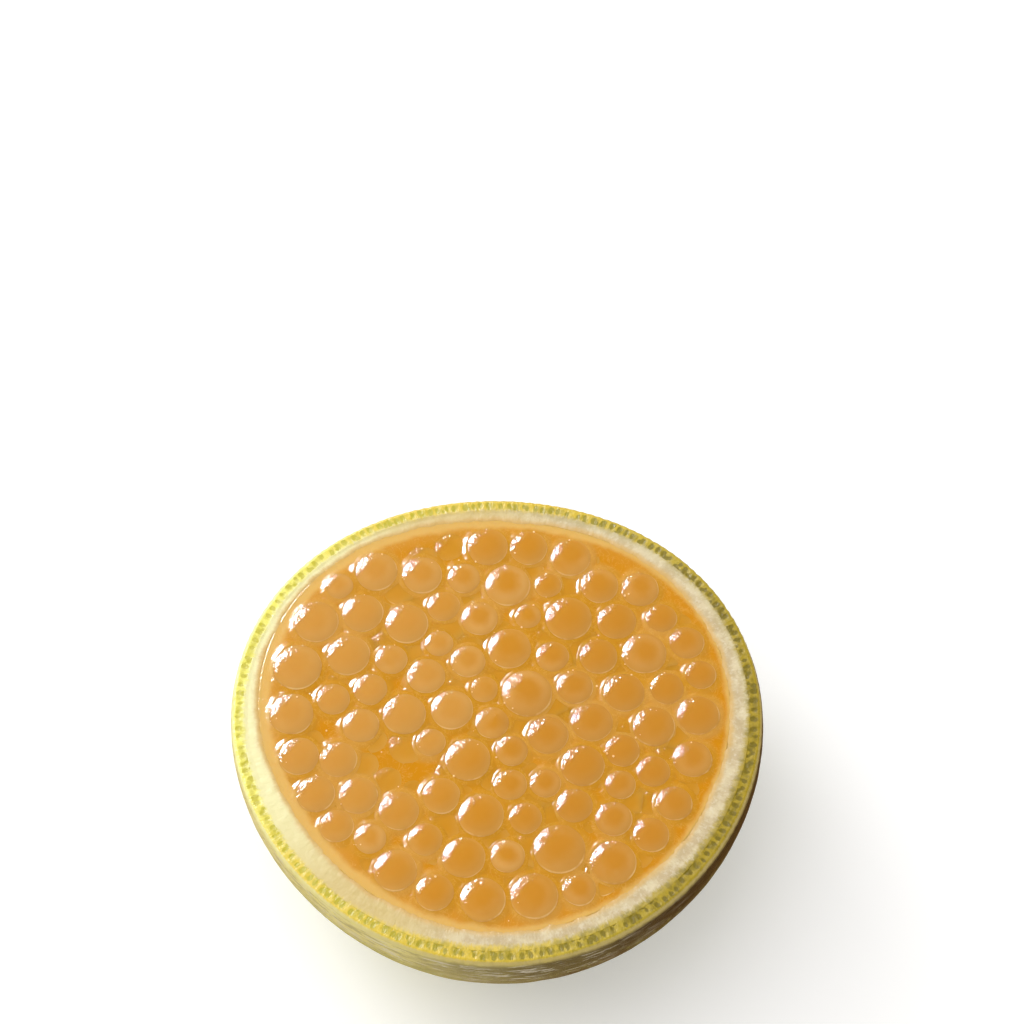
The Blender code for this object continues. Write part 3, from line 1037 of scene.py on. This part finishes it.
def make_pearl_finish():
    # The pearl glows a little in its own colour: a painted glow.
    material, bench, shader = new_finish("juice_pearl", IOR=1.45, Emission_Strength=GLOW)
    shader.inputs["Specular IOR Level"].default_value = 0.9
    shader.inputs["Subsurface Weight"].default_value = 0.35
    shader.inputs["Subsurface Radius"].default_value = (1.0, 0.7, 0.3)
    shader.inputs["Subsurface Scale"].default_value = 1.2 * MM
    where = bench.place()
    reach = bench.reading("reach")
    tone = bench.reading("tone")
    sunward = bench.reading("sunward")
    haze = bench.noise(where, 1.2 * MM, 3.0, 0.5)
    clouds = bench.noise(where, 5.0 * MM, 3.0, 0.5)
    body = bench.tint(PEARL_BODY, PEARL_MILKY_AND_LIT, bench.ramp(tone + 0.5 * haze, 0.7, 1.3))
    body = bench.tint(body, PEARL_PALE, 0.5 * bench.ramp(clouds + 0.2 * tone, 0.6, 0.78))
    body = bench.tint(body, PEARL_CORE, bench.ramp(reach + 0.4 * haze, 0.95, 0.4))
    # Painted light: a pale band along the pearl's edge.
    body = bench.tint(body, PEARL_BAND, 0.75 * bench.ramp(reach + 0.1 * haze, 0.72, 0.95))
    # Painted light and shade: pearls paler on the side of the fruit towards the window and darker on the
    # side away from it.
    body = bench.tint(body, PEARL_MILKY_AND_LIT, 0.6 * bench.ramp(painted_lit_share(bench, where), 0.5, 1.0))
    body = bench.tint(body, PEARL_SHADE, 0.5 * bench.ramp(painted_lit_share(bench, where), 0.5, 0.0))
    body = bench.tint(body, AMBER, bench.reading("veil"))
    # Painted light: a thin bright line, strongest on the side away from the window.
    away = bench.ramp(sunward, 0.25, -0.55)
    line = bench.ramp(reach, 0.875, 0.91) * bench.ramp(reach, 0.96, 0.92)
    body = bench.tint(body, PEARL_LINE, line * (0.15 + 0.7 * away) * bench.ramp(haze, 0.36, 0.6))
    bench.feed(shader.inputs["Base Color"], body)
    # Painted glow: the emitted colour turns paler towards the side away from the window.
    glow = bench.tint(body, PEARL_LINE, 0.5 * away * bench.ramp(reach, 0.3, 0.9))
    bench.feed(shader.inputs["Emission Color"], glow)
    bench.feed(shader.inputs["Roughness"], 0.03 + 0.04 * haze)
    normal = bench.node("ShaderNodeNewGeometry", output="Normal")
    upright = bench.scaled(normal, 1 - PEARL_FLATTEN)
    raised = bench.vector("NORMALIZE", bench.vector("ADD", upright, (0.0, 0.0, PEARL_FLATTEN)))
    jag = bench.noise(where, 0.34 * MM, 2.0, 0.55, 0.8)
    rippled = bench.ramp(sunward, 0.15, 0.55)
    bench.feed(shader.inputs["Normal"], bench.bump(jag * rippled, 0.1 * MM, raised))
    return material


pearl_finish = make_pearl_finish()

# %% [markdown]
# One pearl is a dome on a short skirt that hides in the gel. Every point stores how far it is from the
# middle, so that the finish can find the edge. The raised pearls are round domes. Deeper pearls, which
# only just break the gel, are flat discs with a rounded edge.


# %% One pearl
PEARL_SIDES = 48
REACHES = np.concatenate([np.linspace(0.06, 0.84, 9), np.linspace(0.875, 1.0, 7)])


def make_one_pearl(name, rise, sharpness, veil):
    """A dome of radius one, flatter on top with more sharpness, and veiled by so much gel."""
    angles = directions(PEARL_SIDES)
    rings = [
        level_ring((0.0, 0.0), angles, reach, rise * (1 - reach**sharpness) ** 0.62)
        for reach in REACHES
    ]
    rings.append(level_ring((0.0, 0.0), angles, 0.985, -0.12))
    rings.append(level_ring((0.0, 0.0), angles, 0.8, -0.3))
    mesh = closed_mesh(name, rings)
    points = points_of(mesh)
    points[0, 2] = rise
    mesh.vertices.foreach_set("co", points.astype(np.float32).ravel())
    keep_values(mesh, "reach", np.hypot(points[:, 0], points[:, 1]))
    keep_values(mesh, "veil", np.full(len(points), veil))
    return bpy.data.objects.new(name, mesh)


raised_pearl = make_one_pearl("raised_pearl", PEARL_HEIGHT + PEARL_SUNK, 2.0, 0.0)
deep_pearl = make_one_pearl("deep_pearl", 0.14, 5.0, 0.7)
print("faces of one pearl:", len(raised_pearl.data.polygons))

# %% [markdown]
# Geometry Nodes set a copy of the pearl on each point, scaled by the radius stored there and turned at
# random. A random tone and the pearl's own centre go with each copy. Once the copies are real,
# the tree works out which side of each pearl faces the window, and noise presses the pearl a
# little out of round, always inwards, so that none leaves its room.


# %% Pearls by Geometry Nodes
def build_pearl_layout():
    sockets = (
        ("Pearl", "Object"),
        ("Window Side", "Vector"),
        ("Dent Size", "Float"),
        ("Dent Depth", "Float"),
        ("Seed", "Int"),
        ("Material", "Material"),
    )
    tree, bench, given = new_layout("pearl_spread", sockets)
    pearl = bench.node("GeometryNodeObjectInfo", None, {"Object": given["Pearl"]}, "Geometry")
    radius = bench.stored("radius")
    anything = {"data_type": "FLOAT"}
    inputs = {2: 0.0, 3: math.tau, "Seed": given["Seed"]}
    turn = bench.node("FunctionNodeRandomValue", anything, inputs, 1)
    copies = bench.node(
        "GeometryNodeInstanceOnPoints",
        None,
        {
            "Points": given["Geometry"],
            "Instance": pearl,
            "Rotation": bench.node("ShaderNodeCombineXYZ", None, {"Z": turn}),
            "Scale": radius,
        },
    )
    inputs = {2: 0.0, 3: 1.0, "Seed": given["Seed"] + 1}
    tone = bench.node("FunctionNodeRandomValue", anything, inputs, 1)
    toned = bench.store(copies, "tone", tone, domain="INSTANCE")
    here = bench.node("GeometryNodeInputPosition")
    centred = bench.store(toned, "middle", here, "FLOAT_VECTOR", "INSTANCE")
    real = bench.node("GeometryNodeRealizeInstances", None, {"Geometry": centred})
    out = bench.vector("SUBTRACT", here, bench.stored("middle", "FLOAT_VECTOR"))
    sunward = bench.vector("DOT_PRODUCT", out, given["Window Side"], 1) / radius
    sided = bench.store(real, "sunward", sunward)
    dent = bench.noise(bench.scaled(here, 1 / given["Dent Size"]), 1.0)
    normal = bench.node("GeometryNodeInputNormal")
    inwards = bench.scaled(normal, -1.0 * given["Dent Depth"] * dent)
    dented = bench.node("GeometryNodeSetPosition", None, {"Geometry": sided, "Offset": inwards})
    close_layout(bench, dented, given["Material"])
    return tree


pearl_layout = build_pearl_layout()

# %% [markdown]
# The deeper pearls are strewn at random with a least distance between them. They may lie partly under
# a raised pearl, but not right below one, where they would never be seen.

# %% Places of the deeper pearls
DEEP_SEED = 21
DEEP_COUNT = 92
DEEP_TRIES = 6000
DEEP_RADII = (1.1 * MM, 1.75 * MM)
DEEP_SPACING = 1.9 * MM
DEEP_CLEAR = 0.75
DEEP_LEVEL = 0.085 * MM


def lay_out_deep_pearls():
    """Place and radius of each deeper pearl, from seeded random tries."""
    draw = random.Random(DEEP_SEED)
    found = []
    for _ in range(DEEP_TRIES):
        angle = draw.uniform(0, math.tau)
        radius = draw.uniform(*DEEP_RADII)
        reach = (edge_radius(PULP_OUTLINE, angle) - radius - PEARL_MARGIN) * math.sqrt(draw.random())
        x = PULP_CENTRE[0] + reach * math.cos(angle)
        y = PULP_CENTRE[1] + reach * math.sin(angle)
        apart = min((math.hypot(x - a, y - b) for a, b, _ in found), default=DEEP_SPACING)
        clear = min(math.hypot(x - a, y - b) / r for a, b, r in pearls)
        if apart >= DEEP_SPACING and clear > DEEP_CLEAR:
            found.append((x, y, radius))
    return found[:DEEP_COUNT]


# %% Show the pearls
def pearl_points(name, places, sink):
    """A mesh with one loose point for each pearl, which also carries its radius."""
    mesh = bpy.data.meshes.new(name)
    mesh.from_pydata([(x, y, CUT_HEIGHT - sink(radius)) for x, y, radius in places], [], [])
    keep_values(mesh, "radius", [radius for _, _, radius in places])
    return mesh


def spread_pearls(name, points, pearl, dent_depth, seed):
    """One piece of the pulp: a copy of the pearl on every point."""
    values = {
        "Pearl": pearl,
        "Window Side": WINDOW_SIDE,
        "Dent Size": 1.1 * MM,
        "Dent Depth": dent_depth,
        "Seed": seed,
        "Material": pearl_finish,
    }
    return place_piece(run_layout(name, points, pearl_layout, values), "pulp")


deep_places = lay_out_deep_pearls()
print("deeper pearls:", len(deep_places))
raised_points = pearl_points("raised_points", pearls, lambda radius: radius * PEARL_SUNK)
juice_pearls = spread_pearls("juice_pearls", raised_points, raised_pearl, 0.08 * MM, PEARL_SEED)
deep_points = pearl_points("deep_points", deep_places, lambda radius: DEEP_LEVEL + 0.05 * radius)
deep_pearls = spread_pearls("deep_pearls", deep_points, deep_pearl, 0.05 * MM, DEEP_SEED)

# %% [markdown]
# Cutting the fruit sprays tiny drops of juice, which cling to the pearls, mostly where the wet skin
# bulges towards the window. They are painted pale and glow a little, as painted glints. They are no more
# than specks, so a coarse ball of a few faces will do for each. Geometry Nodes copy it to points whose
# places come from a seeded rule.

# %% Places of the droplets
DROP_SEED = 8
DROPS_PER_PEARL = (3, 7)
DROP_TURN = math.radians(38)
DROP_REACH = (0.62, 1.0)
DROP_RADII = (0.035 * MM, 0.095 * MM)
STRAY_DROPS = 60


def pearl_surface(share, radius):
    """Height of a raised pearl over the cut, at a share of its radius from the middle."""
    return radius * ((PEARL_HEIGHT + PEARL_SUNK) * (1 - share**2) ** 0.62 - PEARL_SUNK)


def lay_out_droplets():
    """Place and radius of each droplet: clusters on the pearls and a few strays in the gel."""
    draw = random.Random(DROP_SEED)
    middle = math.atan2(WINDOW_SIDE.y, WINDOW_SIDE.x) + math.radians(22)
    drops = []
    for x, y, radius in pearls:
        for _ in range(draw.randint(*DROPS_PER_PEARL)):
            turn = middle + draw.gauss(0, DROP_TURN)
            share = draw.uniform(*DROP_REACH)
            size = DROP_RADII[0] + (DROP_RADII[1] - DROP_RADII[0]) * draw.random() ** 2.2
            height = max(pearl_surface(share, radius) - 0.03 * MM, -0.02 * MM)
            out = share * radius
            drops.append((x + out * math.cos(turn), y + out * math.sin(turn), height, size))
    for _ in range(STRAY_DROPS):
        angle = draw.uniform(0, math.tau)
        reach = edge_radius(PULP_OUTLINE, angle) * math.sqrt(draw.random()) * 0.98
        x = PULP_CENTRE[0] + reach * math.cos(angle)
        y = PULP_CENTRE[1] + reach * math.sin(angle)
        if min(math.hypot(x - a, y - b) / r for a, b, r in pearls) > 1.0:
            drops.append((x, y, -0.02 * MM, draw.uniform(*DROP_RADII)))
    return drops


# %% Droplets by Geometry Nodes
# Pale colour of the droplets, a painted glint.
DROPLET_GLINT = colour("F0CF98")


def make_droplet_glint_finish():
    # Painted glint: the droplets are pale and glow a little.
    material, bench, shader = new_finish("droplet", IOR=1.4, Emission_Strength=0.25)
    haze = bench.noise(bench.place(), 2.0 * MM, 2.0)
    body = bench.tint(DROPLET_GLINT, PEARL_LINE, bench.ramp(haze, 0.45, 0.65))
    bench.feed(shader.inputs["Base Color"], body)
    bench.feed(shader.inputs["Emission Color"], body)
    bench.feed(shader.inputs["Roughness"], 0.06 + 0.06 * haze)
    return material


def build_drop_layout():
    tree, bench, given = new_layout("drop_spread", (("Roundness", "Int"), ("Material", "Material")))
    inputs = {"Radius": 1.0, "Subdivisions": given["Roundness"]}
    ball = bench.node("GeometryNodeMeshIcoSphere", None, inputs)
    inputs = {"Points": given["Geometry"], "Instance": ball, "Scale": bench.stored("radius")}
    close_layout(bench, bench.node("GeometryNodeInstanceOnPoints", None, inputs), given["Material"])
    return tree


drops = lay_out_droplets()
drop_points = bpy.data.meshes.new("drop_points")
drop_points.from_pydata([(x, y, CUT_HEIGHT + height) for x, y, height, _ in drops], [], [])
keep_values(drop_points, "radius", [size for *_, size in drops])
drop_values = {"Roundness": 2, "Material": make_droplet_glint_finish()}
drop_mesh = run_layout("juice_droplets", drop_points, build_drop_layout(), drop_values)
juice_droplets = place_piece(drop_mesh, "pulp")
print("droplets:", len(drops))

# %% [markdown]
# A plain pale surface, a bright window behind on the left, a broad ceiling lamp and soft light all
# round. The window is made of two lamps: a small one gives the crisp glints and no shading, and a larger
# one gives soft shading and no glints.

# %% Surface and light
PAPER = colour("F6F7F8")
WINDOW = (-0.55, 0.62, 0.57)
ROOM = colour("FFFDFA")
ROOM_MIRRORED = colour("A87636")
ROOM_LIGHT = 0.72
PAPER_SHADE = colour("EFEFF0")
PAPER_GLOW = 0.2
PAPER_HALF_WIDTH = 2.0


def aim(thing, target):
    """Turn a lamp or a camera so that it looks at a point."""
    thing.rotation_mode = "QUATERNION"
    thing.rotation_quaternion = (Vector(target) - thing.location).to_track_quat("-Z", "Y")


def add_panel(name, direction, distance, width, height, watts, glints):
    """A rectangular lamp that looks at the fruit: either for glints alone or for all but glints."""
    data = bpy.data.lights.new(name, "AREA")
    data.shape = "RECTANGLE"
    data.size = width
    data.size_y = height
    data.energy = watts
    panel = bpy.data.objects.new(name, data)
    panel.visible_diffuse = not glints
    panel.visible_glossy = glints
    data.color = colour("EEF3FF" if glints else "FFFDFB")[:3]
    panel.location = Vector(direction).normalized() * distance
    bpy.context.scene.collection.objects.link(panel)
    aim(panel, (0.0, 0.0, CUT_HEIGHT))
    return panel


def make_surface():
    mesh = bpy.data.meshes.new("table_surface")
    half = PAPER_HALF_WIDTH
    corners = [(-half, -half, 0), (half, -half, 0), (half, half, 0), (-half, half, 0)]
    mesh.from_pydata(corners, [], [(0, 1, 2, 3)])
    constants = {"Roughness": 0.8, "Emission_Color": PAPER, "Emission_Strength": PAPER_GLOW}
    material, bench, shader = new_finish("paper", **constants)
    soft = bench.noise(bench.place(), 30 * MM, 2.0)
    bench.feed(shader.inputs["Base Color"], bench.tint(PAPER, PAPER_SHADE, soft))
    mesh.materials.append(material)
    surface = bpy.data.objects.new("table_surface", mesh)
    bpy.context.scene.collection.objects.link(surface)
    surface.visible_glossy = False


def make_room():
    """Light from all round. Wet surfaces mirror a darker room than the one that shades them."""
    world = bpy.data.worlds.new("room")
    bpy.context.scene.world = world
    world.use_nodes = True
    bench = Bench(world.node_tree)
    mirrored = bench.node("ShaderNodeLightPath", output="Is Glossy Ray")
    inputs = world.node_tree.nodes["Background"].inputs
    bench.feed(inputs["Color"], bench.tint(ROOM, ROOM_MIRRORED, mirrored))
    inputs["Strength"].default_value = ROOM_LIGHT


make_surface()
add_panel("window", WINDOW, 0.5, 0.3, 0.2, 0.6, glints=False)
add_panel("window_glint", WINDOW, 0.45, 0.15, 0.075, 6.8, glints=True)
add_panel("ceiling", (-0.35, 0.2, 1.0), 0.7, 0.7, 0.7, 1.9, glints=False)
make_room()
bpy.context.scene.view_settings.view_transform = "Standard"
print("lamps:", [lamp.name for lamp in bpy.data.lights])

# %% [markdown]
# The camera looks down on the cut at the angle from which a circle takes on the height that the face
# has in the picture. A long lens stands well back. The fruit sits low in the frame, which is
# done by aiming the camera past it, so no lens shift is needed.

# %% Camera
PICTURE_SIDE = 1024
FACE_PIXEL = (496.3, 718.7)
FACE_PIXELS_WIDE = 521.2
FACE_SPAN = 40.24 * MM
LOOK_DOWN = math.radians(66.3)
ROLL = math.radians(-3.9)
FIELD_OF_VIEW = math.radians(20)


def add_camera():
    """Place the camera so that the middle of the cut lands on its pixel at its size."""
    spread = math.tan(FIELD_OF_VIEW / 2)
    half = PICTURE_SIDE / 2
    ray = Vector(((FACE_PIXEL[0] - half) / half * spread, (half - FACE_PIXEL[1]) / half * spread, -1.0))
    along = FACE_SPAN * half / (spread * FACE_PIXELS_WIDE)
    back = Vector((0.0, -math.cos(LOOK_DOWN), math.sin(LOOK_DOWN)))
    data = bpy.data.cameras.new("camera")
    data.lens = data.sensor_width / 2 / spread
    data.clip_start = 0.01
    camera = bpy.data.objects.new("camera", data)
    straight = (-back).to_track_quat("-Z", "Y")
    swing = ray.normalized().rotation_difference(Vector((0.0, 0.0, -1.0)))
    camera.rotation_mode = "QUATERNION"
    camera.rotation_quaternion = Quaternion(-back, -ROLL) @ straight @ swing
    camera.location = Vector((*FACE_CENTRE, CUT_HEIGHT)) + back * along * ray.length
    bpy.context.scene.collection.objects.link(camera)
    bpy.context.scene.camera = camera
    return camera


camera = add_camera()
print("camera stands off by", round((camera.location - Vector((0, 0, CUT_HEIGHT))).length / MM), "mm")
